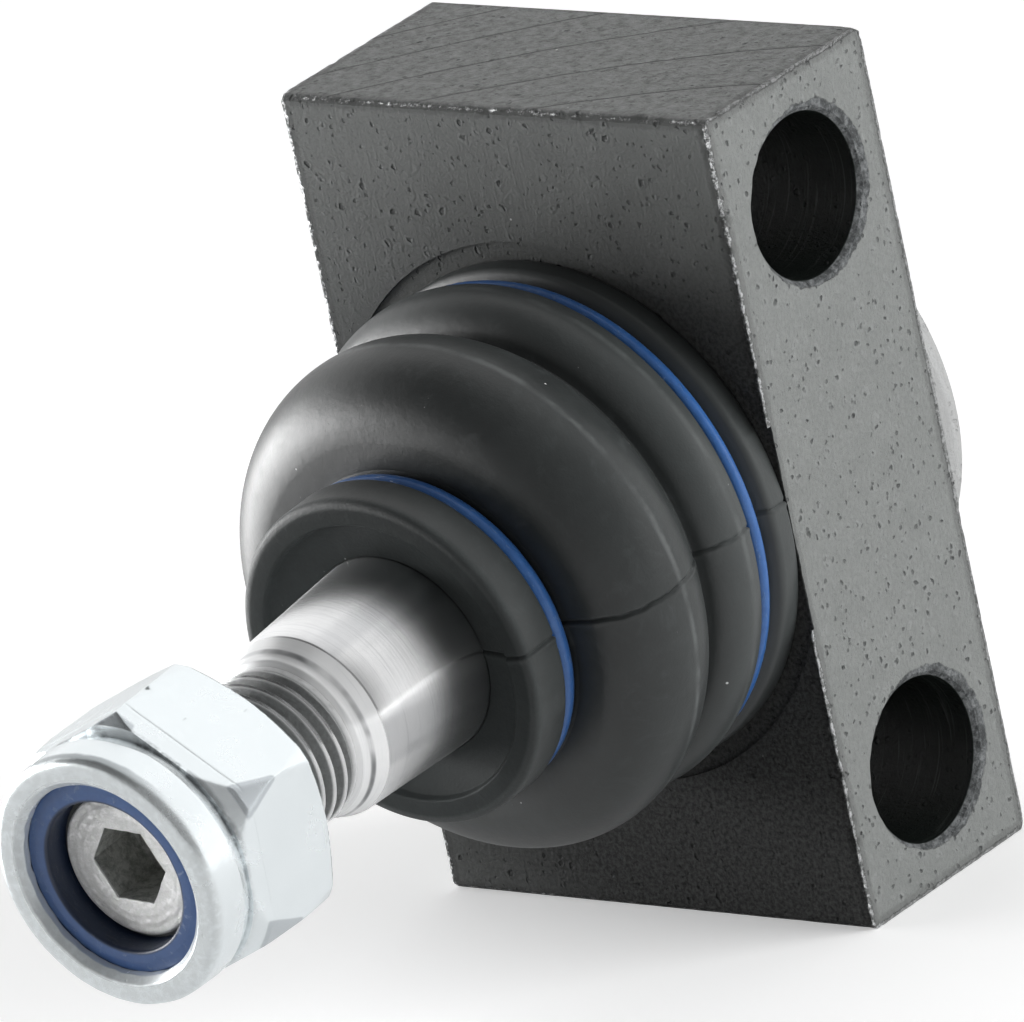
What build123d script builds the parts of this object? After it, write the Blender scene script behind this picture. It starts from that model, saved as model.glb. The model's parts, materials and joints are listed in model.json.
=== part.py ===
from build123d import *
import math
import os

# Suspension ball joint: a bored steel block with a spring-loaded ball stud,
# a two-fold rubber boot held by two blue rings, and a hexagon lock nut.
# Frame: X along the two fixing bolts, -Y out of the socket towards the stud,
# Z along the block. The origin is the middle of the two fixing bolts.

# Block
block_width = 43.6
block_depth = 20.8
block_height = 70.0
block_edge = 0.5
bolt_end_distance = 10.5
bolt_hole_radius = 6.75
bolt_mouth = 0.45
spot_face_margin = 1.65
spot_face_depth = 0.4

# Clearances
running_clearance = 0.05
seat_clearance = 0.03

# Ball and its place behind the front face of the block
ball_radius = 13.5
ball_depth = 6.0
ball_flat_cut = 1.1

# Socket bore, seat and mouth, with places measured from the ball's centre
shell_wall = 3.0
seat_start = 4.4
seat_end = 8.2
mouth_grip = 1.1
mouth_flare = 1.8

# Socket bosses, before and behind the block
front_boss_length = 5.0
front_boss_wall = 1.7
front_boss_edge = 0.5
rear_boss_wall = 3.8
rear_boss_edge = 0.5
rear_boss_root = 2.6
rear_boss_root_rise = 2.8
bead_groove_depth = 1.2
bead_groove_start = 1.0
bead_groove_width = 2.6
rim_thickness = 1.0
rim_overlap = 1.5
rim_edge = 0.5

# Bearing shells and what loads them
shell_gap = 0.4
front_shell_end = 7.4
rear_shell_wall = 1.25
grease_hole_radius = 4.0
plate_thickness = 1.0
plate_edge = 0.25
plate_hole_radius = 3.2
spring_thickness = 0.7
spring_height = 1.1
spring_hole_radius = 5.5
cover_thickness = 1.4
cover_dimple_radius = 7.0
cover_dimple_depth = 0.5

# How the stud leans as the joint lies in hand, in degrees
rest_tilt_down = 3.6
rest_tilt_side = 0.6

# Stud, with places measured along it from the ball's centre
neck_radius = 7.0
neck_end = 15.4
cone_start = 19.6
cone_end = 43.1
cone_small_radius = 8.05
cone_taper = 1 / 10
relief_start = 45.2
relief_depth = 0.65
relief_edge = 0.4
thread_start = 46.4
thread_radius = 6.95
thread_end_chamfer = 1.0
stud_end = 66.9
socket_width = 6.2
socket_depth = 5.0

# Boot base, with heights measured from the front face of the block
boot_wall = 1.7
base_wall = 1.87
base_lip_length = 2.0
base_lip_edge = 0.4
base_ring_height = 3.4
base_ring_wire = 0.85
base_groove_step = 0.6
base_groove_round = 0.1
rear_fold_start = 4.5
rear_fold_height = 6.1
rear_fold_rise = 0.3
rear_fold_end = 7.8
rear_fold_drop = 1.25
valley_height = 9.3
valley_depth = 2.85

# Front fold and collar, with places measured along the stud from the ball's centre
front_fold_start = 16.7
front_fold_place = 20.3
front_fold_rise = 0.05
front_fold_curve = 5.7
front_fold_end = 24.0
collar_wall = 5.8
collar_length = 4.0
collar_edge = 0.6
collar_back_edge = 0.4
collar_step_inset = 2.3
collar_step_depth = 0.6
collar_mouth_depth = 1.7
collar_end = 32.1
collar_ring_gap = 1.1
collar_ring_wire = 0.8
collar_ring_sink = 0.2
collar_bore_start = 24.6

# Lock nut
nut_width = 22.0
nut_back = 55.2
hexagon_length = 10.3
nut_collar_length = 4.5
nut_chamfer_angle = 30.0
nut_face_inset = 0.4
nut_back_corner = 12.3
nut_peak_place = 5.1
nut_front_corner = 12.05
nut_front_corner_place = 8.9
nut_collar_round = 1.7
nut_collar_neck = 0.4
nut_lip_overlap = 0.55
nut_lip_drop = 0.6
nut_lip_thickness = 0.7
nut_bore_clearance = 0.07
nut_turn_at_rest = -34.7

# Nylon insert
insert_wall = 1.95
insert_grip = 0.45
insert_pocket_place = 9.4
insert_recess = 1.1
insert_slope = 0.3
insert_cut_gap = 0.3

os.makedirs("parts", exist_ok=True)

# Derived places and radii of the socket, measured from the ball's centre
front_y = -block_depth / 2
ball_y = front_y + ball_depth
back_face = ball_depth - block_depth
ball_seat = ball_radius + running_clearance
bore_radius = ball_radius + shell_wall
mouth_radius = ball_radius - mouth_grip
front_boss_radius = bore_radius + front_boss_wall
front_boss_end = ball_depth + front_boss_length
rear_boss_radius = bore_radius + rear_boss_wall
rear_shell_end = -ball_seat - rear_shell_wall
spring_front = rear_shell_end - plate_thickness
spring_back = spring_front - spring_height
cover_out = spring_back - cover_thickness
rear_boss_end = cover_out - rim_thickness

# Derived radii of the boot's base, from the boss outwards
boss_fit = front_boss_radius + running_clearance
base_groove_floor = boss_fit + base_wall
base_ring_radius = base_groove_floor + seat_clearance + base_ring_wire
base_lip_radius = base_ring_radius + base_ring_wire
spot_face_radius = base_lip_radius + spot_face_margin
lip_seat = ball_depth - spot_face_depth

# Local y of both frames points out of the socket, local x is a radius
socket = Plane(origin=(0, ball_y, 0), x_dir=(-1, 0, 0), z_dir=(0, 0, 1))
stud = socket.rotated((rest_tilt_down, 0, rest_tilt_side))


def leaning(share):
    """Frame that leans by a share of the stud's own lean."""
    return socket.rotated((rest_tilt_down * share, 0, rest_tilt_side * share))


def cross_plane(frame, place):
    """Plane square to a frame's own axis, at a place along it."""
    origin = frame.from_local_coords(Vector(0, place, 0))
    return Plane(origin=origin, x_dir=frame.x_dir, z_dir=frame.y_dir)


def cone_radius(place):
    """Radius of the stud's taper at a place along it."""
    return cone_small_radius + (cone_end - place) * cone_taper / 2


# Block with its bosses, socket bore and two bolt holes
bead_groove_radius = front_boss_radius - bead_groove_depth
groove_low = ball_depth + bead_groove_start
groove_high = groove_low + bead_groove_width
rim_radius = bore_radius - rim_overlap

with BuildPart() as housing_block:
    Box(block_width, block_depth, block_height)
    chamfer(housing_block.edges().filter_by(Axis.X), block_edge)
    with BuildSketch(cross_plane(socket, ball_depth - spot_face_depth)):
        Circle(spot_face_radius)
    extrude(amount=2 * spot_face_depth, mode=Mode.SUBTRACT)
    with BuildSketch(socket):
        with BuildLine():
            Polyline(
                (0, rear_boss_end),
                (rear_boss_radius - rear_boss_edge, rear_boss_end),
                (rear_boss_radius, rear_boss_end + rear_boss_edge),
                (rear_boss_radius, back_face - rear_boss_root_rise),
                (rear_boss_radius + rear_boss_root, back_face),
                (rear_boss_radius, back_face),
                (rear_boss_radius, 0),
                (front_boss_radius, 0),
                (front_boss_radius, groove_low),
                (bead_groove_radius, groove_low),
                (bead_groove_radius, groove_high),
                (front_boss_radius, groove_high),
                (front_boss_radius, front_boss_end - front_boss_edge),
                (front_boss_radius - front_boss_edge, front_boss_end),
                (0, front_boss_end),
                close=True,
            )
        make_face()
    revolve(axis=Axis(socket.origin, socket.y_dir))
    Box(block_width, 4 * block_depth, block_height, mode=Mode.INTERSECT)
    with BuildSketch(socket):
        with BuildLine():
            Polyline(
                (0, rear_boss_end),
                (rim_radius + rim_edge, rear_boss_end),
                (rim_radius, rear_boss_end + rim_edge),
                (rim_radius, cover_out),
                (bore_radius, cover_out),
                (bore_radius, seat_start),
                (mouth_radius, seat_end),
                (mouth_radius + mouth_flare, front_boss_end),
                (0, front_boss_end),
                close=True,
            )
        make_face()
    revolve(axis=Axis(socket.origin, socket.y_dir), mode=Mode.SUBTRACT)
    with BuildSketch(Plane.YZ.offset(-block_width / 2)) as bolt_circles:
        with GridLocations(0, block_height - 2 * bolt_end_distance, 1, 2):
            Circle(bolt_hole_radius)
    extrude(amount=block_width, mode=Mode.SUBTRACT)
    mouths = housing_block.edges().filter_by(GeomType.CIRCLE)
    mouths = mouths.filter_by(lambda e: abs(e.radius - bolt_hole_radius) < 0.01)
    chamfer(mouths, bolt_mouth)
housing_block.part.label = "housing_block"

# Front bearing shell, seated on the cone of the socket
shell_radius = bore_radius - seat_clearance
seat_slope = (bore_radius - mouth_radius) / (seat_end - seat_start)
shell_lip_radius = shell_radius - seat_slope * (front_shell_end - seat_start)
shell_mouth = math.sqrt(ball_seat**2 - front_shell_end**2)
front_shell_back = math.sqrt(ball_seat**2 - (shell_gap / 2) ** 2)

with BuildPart() as front_bearing_shell:
    with BuildSketch(socket):
        with BuildLine():
            Polyline(
                (shell_mouth, front_shell_end),
                (shell_lip_radius, front_shell_end),
                (shell_radius, seat_start),
                (shell_radius, shell_gap / 2),
                (front_shell_back, shell_gap / 2),
            )
            seat_angle = math.degrees(math.acos(front_shell_end / ball_seat)) / 2
            seat_angle += math.degrees(math.acos(shell_gap / 2 / ball_seat)) / 2
            ThreePointArc(
                (front_shell_back, shell_gap / 2),
                (
                    ball_seat * math.sin(math.radians(seat_angle)),
                    ball_seat * math.cos(math.radians(seat_angle)),
                ),
                (shell_mouth, front_shell_end),
            )
        make_face()
    revolve(axis=Axis(socket.origin, socket.y_dir))
front_bearing_shell.part.label = "front_bearing_shell"

# Rear bearing shell, with a grease hole at its pole
with BuildPart() as rear_bearing_shell:
    with BuildSketch(socket):
        with BuildLine():
            Polyline(
                (0, -shell_gap / 2),
                (shell_radius, -shell_gap / 2),
                (shell_radius, rear_shell_end),
                (0, rear_shell_end),
                close=True,
            )
        make_face()
    revolve(axis=Axis(socket.origin, socket.y_dir))
    with Locations(socket.origin):
        Sphere(ball_seat, mode=Mode.SUBTRACT)
    with BuildSketch(cross_plane(socket, rear_shell_end)):
        Circle(grease_hole_radius)
    extrude(amount=-rear_shell_end, mode=Mode.SUBTRACT)
rear_bearing_shell.part.label = "rear_bearing_shell"

# Pressure plate behind the rear shell
with BuildPart() as pressure_plate:
    with BuildSketch(cross_plane(socket, spring_front)):
        Circle(shell_radius)
        Circle(plate_hole_radius, mode=Mode.SUBTRACT)
    extrude(amount=plate_thickness)
    chamfer(pressure_plate.edges().filter_by(GeomType.CIRCLE).group_by(Axis.Y)[-1], plate_edge)
pressure_plate.part.label = "pressure_plate"

# Disc spring between the plate and the cover
spring_rise = spring_height - spring_thickness
with BuildPart() as disc_spring:
    with BuildSketch(socket):
        with BuildLine():
            Polyline(
                (spring_hole_radius, spring_front - spring_thickness),
                (spring_hole_radius, spring_front),
                (shell_radius, spring_front - spring_rise),
                (shell_radius, spring_back),
                close=True,
            )
        make_face()
    revolve(axis=Axis(socket.origin, socket.y_dir))
disc_spring.part.label = "disc_spring"

# Closing cover under the rolled rim
with BuildPart() as closing_cover:
    with BuildSketch(socket):
        with BuildLine():
            Polyline(
                (0, cover_out + cover_dimple_depth),
                (cover_dimple_radius - cover_dimple_depth, cover_out + cover_dimple_depth),
                (cover_dimple_radius, cover_out),
                (shell_radius, cover_out),
                (shell_radius, spring_back),
                (0, spring_back),
                close=True,
            )
        make_face()
    revolve(axis=Axis(socket.origin, socket.y_dir))
closing_cover.part.label = "closing_cover"

# Ball stud: ball, neck, taper, relief, threaded end with a hexagon socket
ball_flat = ball_radius - ball_flat_cut
relief_radius = thread_radius - relief_depth

with BuildPart() as ball_stud:
    ball_neck = math.sqrt(ball_radius**2 - neck_radius**2)
    flat_radius = math.sqrt(ball_radius**2 - ball_flat**2)
    with BuildSketch(stud):
        with BuildLine():
            ThreePointArc((flat_radius, -ball_flat), (ball_radius, 0), (neck_radius, ball_neck))
            Polyline((neck_radius, ball_neck), (neck_radius, neck_end))
            Spline(
                (neck_radius, neck_end),
                (cone_radius(cone_start), cone_start),
                tangents=[(0, 1), (-cone_taper / 2, 1)],
            )
            Polyline(
                (cone_radius(cone_start), cone_start),
                (cone_small_radius, cone_end),
                (thread_radius, relief_start - relief_edge),
                (relief_radius, relief_start),
                (relief_radius, thread_start - relief_edge),
                (thread_radius, thread_start),
                (thread_radius, stud_end - thread_end_chamfer),
                (thread_radius - thread_end_chamfer, stud_end),
                (0, stud_end),
                (0, -ball_flat),
                (flat_radius, -ball_flat),
            )
        make_face()
    revolve(axis=Axis(stud.origin, stud.y_dir))
    with BuildSketch(cross_plane(stud, stud_end)):
        RegularPolygon(socket_width / 2, 6, major_radius=False)
    extrude(amount=-socket_depth, mode=Mode.SUBTRACT)
ball_stud.part.label = "ball_stud"

# Boot: base bead and lip square to the block, two folds, collar square to the stud
bead_radius = bead_groove_radius + running_clearance
bead_low = groove_low + running_clearance
bead_high = groove_high - running_clearance
lip_end = lip_seat + base_lip_length
base_ring_place = ball_depth + base_ring_height
base_groove_start = base_ring_place - base_ring_wire - seat_clearance
fold_start = ball_depth + rear_fold_start
fold_start_radius = base_groove_floor + base_groove_step
rear_fold_radius = base_lip_radius + rear_fold_rise
valley_start = ball_depth + rear_fold_end
valley_radius = rear_fold_radius - valley_depth
front_fold_radius = base_lip_radius + front_fold_rise
fold_middle = front_fold_radius - front_fold_curve
collar_radius = cone_radius(collar_end) + collar_wall
flange_start = collar_end - collar_length
collar_ring_place = flange_start - collar_ring_gap
collar_ring_radius = collar_radius - collar_ring_sink - collar_ring_wire


def front_fold(place):
    """Outer radius of the front fold, an arc about its widest place."""
    return fold_middle + math.sqrt(front_fold_curve**2 - (place - front_fold_place) ** 2)


rear_fold = [
    (fold_start, fold_start_radius),
    (ball_depth + rear_fold_height, rear_fold_radius),
    (valley_start, rear_fold_radius - rear_fold_drop),
]
valley = [
    (valley_start, rear_fold_radius - rear_fold_drop),
    (ball_depth + valley_height, valley_radius),
    (front_fold_start, front_fold(front_fold_start)),
]
front_crest = [
    (front_fold_start, front_fold(front_fold_start)),
    (front_fold_place, front_fold_radius),
    (front_fold_end, front_fold(front_fold_end)),
]

with BuildPart() as dust_boot:
    for inset, mode in ((0, Mode.ADD), (boot_wall, Mode.SUBTRACT)):
        for fold in (rear_fold, valley, front_crest):
            for place, radius in fold:
                share = (place - fold_start) / (front_fold_end - fold_start)
                with BuildSketch(cross_plane(leaning(share), place)):
                    Circle(radius - inset)
            loft(mode=mode)
    with BuildSketch(socket):
        with BuildLine():
            Polyline(
                (boss_fit, lip_seat),
                (base_lip_radius - base_lip_edge, lip_seat),
                (base_lip_radius, lip_seat + base_lip_edge),
                (base_lip_radius, lip_end - base_lip_edge),
                (base_lip_radius - base_lip_edge, lip_end),
                (base_groove_floor, base_groove_start),
                (base_groove_floor, fold_start - base_groove_round),
                (fold_start_radius, fold_start),
                (fold_start_radius - boot_wall, fold_start),
                (boss_fit, fold_start),
                (boss_fit, bead_high),
                (bead_radius, bead_high),
                (bead_radius, bead_low),
                (boss_fit, bead_low),
                close=True,
            )
        make_face()
    revolve(axis=Axis(socket.origin, socket.y_dir))
    with BuildSketch(stud):
        fold_crown = front_fold_place + front_fold_curve
        floor_radius = collar_ring_radius - collar_ring_wire - seat_clearance
        step_radius = collar_radius - collar_step_inset
        step_floor = collar_end - collar_step_depth
        mouth_place = collar_end - collar_mouth_depth
        mouth_fit = cone_radius(mouth_place) + running_clearance
        shank_fit = cone_radius(collar_bore_start) + running_clearance
        half_turn = math.radians(66)
        with BuildLine():
            ThreePointArc(
                (front_fold(front_fold_end), front_fold_end),
                (
                    fold_middle + front_fold_curve * math.cos(half_turn),
                    front_fold_place + front_fold_curve * math.sin(half_turn),
                ),
                (fold_middle, fold_crown),
            )
            Polyline(
                (fold_middle, fold_crown),
                (floor_radius, fold_crown),
                (floor_radius, flange_start),
                (collar_radius - collar_back_edge, flange_start),
                (collar_radius, flange_start + collar_back_edge),
                (collar_radius, collar_end - collar_edge),
                (collar_radius - collar_edge, collar_end),
                (step_radius, collar_end),
                (step_radius, step_floor),
                (mouth_fit, mouth_place),
                (shank_fit, collar_bore_start),
                (fold_middle, collar_bore_start),
                (front_fold(front_fold_end) - boot_wall, front_fold_end),
                (front_fold(front_fold_end), front_fold_end),
            )
        make_face()
    revolve(axis=Axis(stud.origin, stud.y_dir))
dust_boot.part.label = "dust_boot"

# Blue rings that clamp the boot at its base and at its collar
with BuildPart() as boot_base_ring:
    with BuildSketch(socket):
        with Locations((base_ring_radius, base_ring_place)):
            Circle(base_ring_wire)
    revolve(axis=Axis(socket.origin, socket.y_dir))
boot_base_ring.part.label = "boot_base_ring"

with BuildPart() as boot_collar_ring:
    with BuildSketch(stud):
        with Locations((collar_ring_radius, collar_ring_place)):
            Circle(collar_ring_wire)
    revolve(axis=Axis(stud.origin, stud.y_dir))
boot_collar_ring.part.label = "boot_collar_ring"

# Lock nut: chamfered hexagon, rolled collar, pocket for the insert
hexagon_end = nut_back + hexagon_length
nut_front = hexagon_end + nut_collar_length
nut_collar_radius = nut_width / 2
nut_face_radius = nut_collar_radius - nut_face_inset
corner_reach = nut_width / math.sqrt(3)
chamfer_drop = (nut_back_corner - nut_face_radius) * math.tan(math.radians(nut_chamfer_angle))
nut_bore_radius = thread_radius + nut_bore_clearance
insert_radius = thread_radius + insert_wall
insert_start = nut_back + insert_pocket_place
insert_end = nut_front - insert_recess
nut_lip_radius = insert_radius - nut_lip_overlap
lip_top = nut_front - nut_lip_drop
lip_under = lip_top - nut_lip_thickness

with BuildPart() as lock_nut:
    with BuildSketch(cross_plane(stud, nut_back)):
        RegularPolygon(nut_width / 2, 6, major_radius=False, rotation=nut_turn_at_rest)
    extrude(amount=hexagon_length)
    with BuildSketch(stud):
        with BuildLine():
            Polyline(
                (0, nut_back),
                (nut_face_radius, nut_back),
                (nut_back_corner, nut_back + chamfer_drop),
                (corner_reach, nut_back + nut_peak_place),
                (nut_front_corner, nut_back + nut_front_corner_place),
                (nut_collar_radius, hexagon_end),
                (0, hexagon_end),
                close=True,
            )
        make_face()
    revolve(axis=Axis(stud.origin, stud.y_dir), mode=Mode.INTERSECT)
    with BuildSketch(stud):
        with BuildLine():
            shoulder = nut_collar_radius - nut_collar_round
            round_middle = math.sqrt(0.5) * nut_collar_round
            lip_floor = nut_front - nut_collar_round
            collar_root = hexagon_end - nut_collar_neck
            Polyline(
                (0, collar_root),
                (nut_collar_radius - nut_collar_neck, collar_root),
                (nut_collar_radius - nut_collar_neck, hexagon_end),
                (nut_collar_radius, hexagon_end + 2 * nut_collar_neck),
                (nut_collar_radius, lip_floor),
            )
            ThreePointArc(
                (nut_collar_radius, lip_floor),
                (shoulder + round_middle, lip_floor + round_middle),
                (shoulder, nut_front),
            )
            Polyline(
                (shoulder, nut_front),
                (nut_lip_radius, lip_top),
                (0, lip_top),
                (0, collar_root),
            )
        make_face()
    revolve(axis=Axis(stud.origin, stud.y_dir))
    with BuildSketch(stud):
        with BuildLine():
            Polyline(
                (0, insert_start),
                (insert_radius + seat_clearance, insert_start),
                (insert_radius + seat_clearance, lip_under),
                (nut_lip_radius, lip_under),
                (nut_lip_radius, nut_front),
                (0, nut_front),
                close=True,
            )
        make_face()
    revolve(axis=Axis(stud.origin, stud.y_dir), mode=Mode.SUBTRACT)
    with BuildSketch(cross_plane(stud, nut_back)):
        Circle(nut_bore_radius)
    extrude(amount=insert_start - nut_back, mode=Mode.SUBTRACT)
lock_nut.part.label = "lock_nut"

# Nylon insert, pressed out by the thread up to the stud's end
insert_hole_radius = thread_radius - insert_grip
insert_neck_radius = nut_lip_radius - seat_clearance
cut_end = stud_end + insert_cut_gap

with BuildPart() as nut_insert:
    with BuildSketch(stud):
        with BuildLine():
            Polyline(
                (nut_bore_radius, insert_start),
                (insert_radius, insert_start),
                (insert_radius, lip_under),
                (insert_neck_radius, lip_under),
                (insert_neck_radius, insert_end),
                (insert_hole_radius + insert_slope, insert_end - insert_slope),
                (insert_hole_radius, insert_end - 2 * insert_slope),
                (insert_hole_radius, cut_end),
                (nut_bore_radius, cut_end),
                close=True,
            )
        make_face()
    revolve(axis=Axis(stud.origin, stud.y_dir))
nut_insert.part.label = "nut_insert"

export_step(housing_block.part, "parts/housing_block.step")
export_step(front_bearing_shell.part, "parts/front_bearing_shell.step")
export_step(rear_bearing_shell.part, "parts/rear_bearing_shell.step")
export_step(pressure_plate.part, "parts/pressure_plate.step")
export_step(disc_spring.part, "parts/disc_spring.step")
export_step(closing_cover.part, "parts/closing_cover.step")
export_step(ball_stud.part, "parts/ball_stud.step")
export_step(dust_boot.part, "parts/dust_boot.step")
export_step(boot_base_ring.part, "parts/boot_base_ring.step")
export_step(boot_collar_ring.part, "parts/boot_collar_ring.step")
export_step(lock_nut.part, "parts/lock_nut.step")
export_step(nut_insert.part, "parts/nut_insert.step")
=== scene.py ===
import json
import math

import bmesh
import bpy
import numpy as np
from mathutils import Matrix, Vector, noise


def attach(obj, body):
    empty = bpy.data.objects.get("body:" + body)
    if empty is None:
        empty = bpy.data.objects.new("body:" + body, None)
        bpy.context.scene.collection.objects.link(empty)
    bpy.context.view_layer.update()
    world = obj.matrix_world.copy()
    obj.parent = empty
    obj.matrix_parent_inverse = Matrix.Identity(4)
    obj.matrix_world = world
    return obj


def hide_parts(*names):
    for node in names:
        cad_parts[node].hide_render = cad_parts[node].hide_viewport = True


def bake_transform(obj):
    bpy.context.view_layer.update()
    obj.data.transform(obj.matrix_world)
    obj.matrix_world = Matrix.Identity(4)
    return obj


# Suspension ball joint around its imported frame. Lengths below are millimetres
# and become metres where a mesh is made. Places along an axis are measured
# from the ball's centre.
MM = 0.001
FULL_TURN = 2 * math.pi

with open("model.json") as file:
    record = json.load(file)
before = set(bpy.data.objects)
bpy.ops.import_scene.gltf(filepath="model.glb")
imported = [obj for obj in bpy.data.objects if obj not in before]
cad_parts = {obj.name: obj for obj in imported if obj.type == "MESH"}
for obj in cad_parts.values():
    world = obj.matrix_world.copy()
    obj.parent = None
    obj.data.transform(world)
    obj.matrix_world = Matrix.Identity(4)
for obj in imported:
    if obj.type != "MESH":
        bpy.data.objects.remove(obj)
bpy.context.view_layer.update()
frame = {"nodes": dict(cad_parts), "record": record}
record = frame["record"]
joints = {joint["name"]: joint for joint in record["behaviour"]["joints"]}

# The ball's centre and the stud's direction as the frame has them
BALL = np.array(joints["stud_spin"]["pos_m"]) / MM
SOCKET_AXIS = np.array(joints["swing_direction"]["axis"], float)
STUD_AXIS = np.array(joints["stud_spin"]["axis"], float)
STUD_AXIS /= np.linalg.norm(STUD_AXIS)

# Sizes that the dressed pieces share with the frame, the block's first
BLOCK_HALF = (21.8, 10.4, 35.0)
BOLT_OFFSET = 24.5
BOLT_RADIUS = 6.75

# Boot and base ring. A fold is its place, its middle's radius and its own size, and
# BASE_RING its place, radius and wire. The boot's axis turns along BEND.
BOSS_FIT = 18.25
LIP_SEAT = 5.6
LIP_RADIUS = 21.85
BASE_GROOVE = (8.5, 10.4)
BASE_GROOVE_FLOOR = 20.12
BASE_RING = (9.4, 20.85, 0.66)
REAR_FOLD = (12.1, 18.95, 3.2)
FRONT_FOLD = (20.3, 16.2, 5.7)
REAR_LEAN = 0.12
FRONT_LEAN = 0.73
BEND = (10.5, 24.0)
BOOT_WALL = 1.7
COLLAR_GROOVE = (26.15, 27.95)
COLLAR_GROOVE_FLOOR = 12.65
COLLAR_RADIUS = 14.45
COLLAR_END = 32.1

# Ball stud
BALL_RADIUS = 13.5
TAPER_END = 43.1
TAPER_RADIUS = 8.05
BALL_FLAT = 12.4
NECK_RADIUS = 7.0
RELIEF_START = 44.95
RELIEF_RADIUS = 6.5
THREAD_RADIUS = 6.95
THREAD_PITCH = 1.5
THREAD_DEPTH = 0.86
STUD_END = 66.9
STUD_END_RADIUS = 5.95
THREAD_LOW = 45.9
THREAD_STEPS = 12
SOCKET_WIDTH = 6.2
SOCKET_DEPTH = 5.0
SOCKET_CORNER = -5.0

# Lock nut, the outline of its corners' bevels, and the corner whose bevel starts late
NUT_WIDTH = 22.0
NUT_BACK = 55.2
HEXAGON_END = 65.5
NUT_CORNER = ((55.2, 10.6), (56.18, 12.3), (60.3, 12.8), (64.1, 12.05), (65.5, 11.0))
NUT_CREASE = 63.6
NUT_THREAD_RADIUS = 7.02
INSERT_FLOOR = 64.6
NUT_FRONT = 70.0
NUT_TURN = -34.7
LATE_CORNER = 85.3
LATE_SHIFT = 3.4
LATE_SPREAD = 22
LIP_HOLE = 8.35
INSERT_FRONT = 68.9
INSERT_LENGTH = 3.2
INSERT_HOLE = 6.5

# Marks: the boot's parting line in degrees round it, with its ridge and groove,
# and the chips along the block's edges
MOULD_LINES = (6.3, 186.3)
LINE_RIDGE = 0.10
LINE_GROOVE = 0.16
CHIP_STEP = 0.42
CHIP_SEED = 5
CHIP_REACH = 0.9

# Saw lines on the block's ends, the oil stain and painted shade on its front and the bores' rough mouths
SAW_SLANT = 0.668
SAW_CURVE = 0.0092
SAW_START = 4.3
SAW_SPACING = 4.12
FAINT_SPACING = 1.37
OIL_AND_SHADE_MIDDLE = (10.0, 0.0, -12.0)
OIL_AND_SHADE_EDGE = (58.0, 26.0)
MOUTH_REACH = 8.0


def basis(axis):
    """Two unit vectors square to an axis, the first nearest +X."""
    first = np.array([1.0, 0, 0]) - axis[0] * axis
    first /= np.linalg.norm(first)
    return first, np.cross(axis, first)


def leaning(share):
    """Axis a share of the way from the socket's to the stud's."""
    axis = SOCKET_AXIS * (1 - share) + STUD_AXIS * share
    return axis / np.linalg.norm(axis)


def shaded_object(shape, mesh, smooth_angle):
    """Object from a finished shape, smooth but for edges sharper than an angle."""
    limit = math.radians(smooth_angle)
    for face in shape.faces:
        face.smooth = True
    for edge in shape.edges:
        edge.smooth = edge.calc_face_angle(0) < limit
    shape.to_mesh(mesh)
    shape.free()
    obj = bpy.data.objects.new(mesh.name, mesh)
    bpy.context.scene.collection.objects.link(obj)
    return obj


def mesh_object(name, vertices, faces, smooth_angle=30):
    """Mesh from millimetre vertices, cleaned, with normals outwards."""
    mesh = bpy.data.meshes.new(name)
    mesh.from_pydata((np.asarray(vertices) * MM).tolist(), [], faces)
    shape = bmesh.new()
    shape.from_mesh(mesh)
    bmesh.ops.remove_doubles(shape, verts=shape.verts, dist=2e-7)
    bmesh.ops.recalc_face_normals(shape, faces=shape.faces)
    return shaded_object(shape, mesh, smooth_angle)


def grid_faces(rows, columns, wrap_rows=False, partners=None):
    """Quads of a grid whose columns close round an axis.

    The last column of a row meets the first column of the same row, or of its
    partner, as the turns of a thread do.
    """
    partners = partners or range(rows)
    faces = []
    for i in range(rows if wrap_rows else rows - 1):
        low, high = i, (i + 1) % rows
        for j in range(columns):
            k = (j + 1) % columns
            low_next, high_next = (low, high) if k else (partners[low], partners[high])
            corners = ((low, j), (low_next, k), (high_next, k), (high, j))
            faces.append(tuple(row * columns + column for row, column in corners))
    return faces


def ring_points(axis, place, radii, angles):
    """Points round an axis, at one place or a place for each angle."""
    first, second = basis(axis)
    around = np.outer(np.cos(angles) * radii, first) + np.outer(np.sin(angles) * radii, second)
    return BALL + np.outer(np.broadcast_to(place, angles.shape), axis) + around


def arc(place, radius, size, start, end, count):
    """Points of an arc in the half plane, angles in degrees from the radius."""
    angles = np.radians(np.linspace(start, end, count))
    return [(place + size * math.sin(a), radius + size * math.cos(a)) for a in angles]


def rounded(corners, count=5):
    """Closed outline whose corners (place, radius, round) become small arcs."""
    outline = []
    total = len(corners)
    for i, (place, radius, size) in enumerate(corners):
        here = np.array([place, radius])
        if size <= 0:
            outline.append(tuple(here))
            continue
        before = np.array(corners[i - 1][:2]) - here
        after = np.array(corners[(i + 1) % total][:2]) - here
        u = before / np.linalg.norm(before)
        v = after / np.linalg.norm(after)
        half = math.acos(max(-1, min(1, float(u @ v)))) / 2
        reach = size / math.tan(half)
        reach = min(reach, 0.49 * np.linalg.norm(before), 0.49 * np.linalg.norm(after))
        start, end = here + u * reach, here + v * reach
        for t in np.linspace(0, 1, count):
            outline.append(tuple((1 - t) ** 2 * start + 2 * t * (1 - t) * here + t * t * end))
    return outline


def rough(points, size, seed):
    """Smooth noise between -1 and 1 at points in millimetres."""
    offset = Vector((seed * 7.3, seed * 3.1, seed * 5.7))
    return np.array([noise.noise(Vector(point) / size + offset) for point in points])


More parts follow.
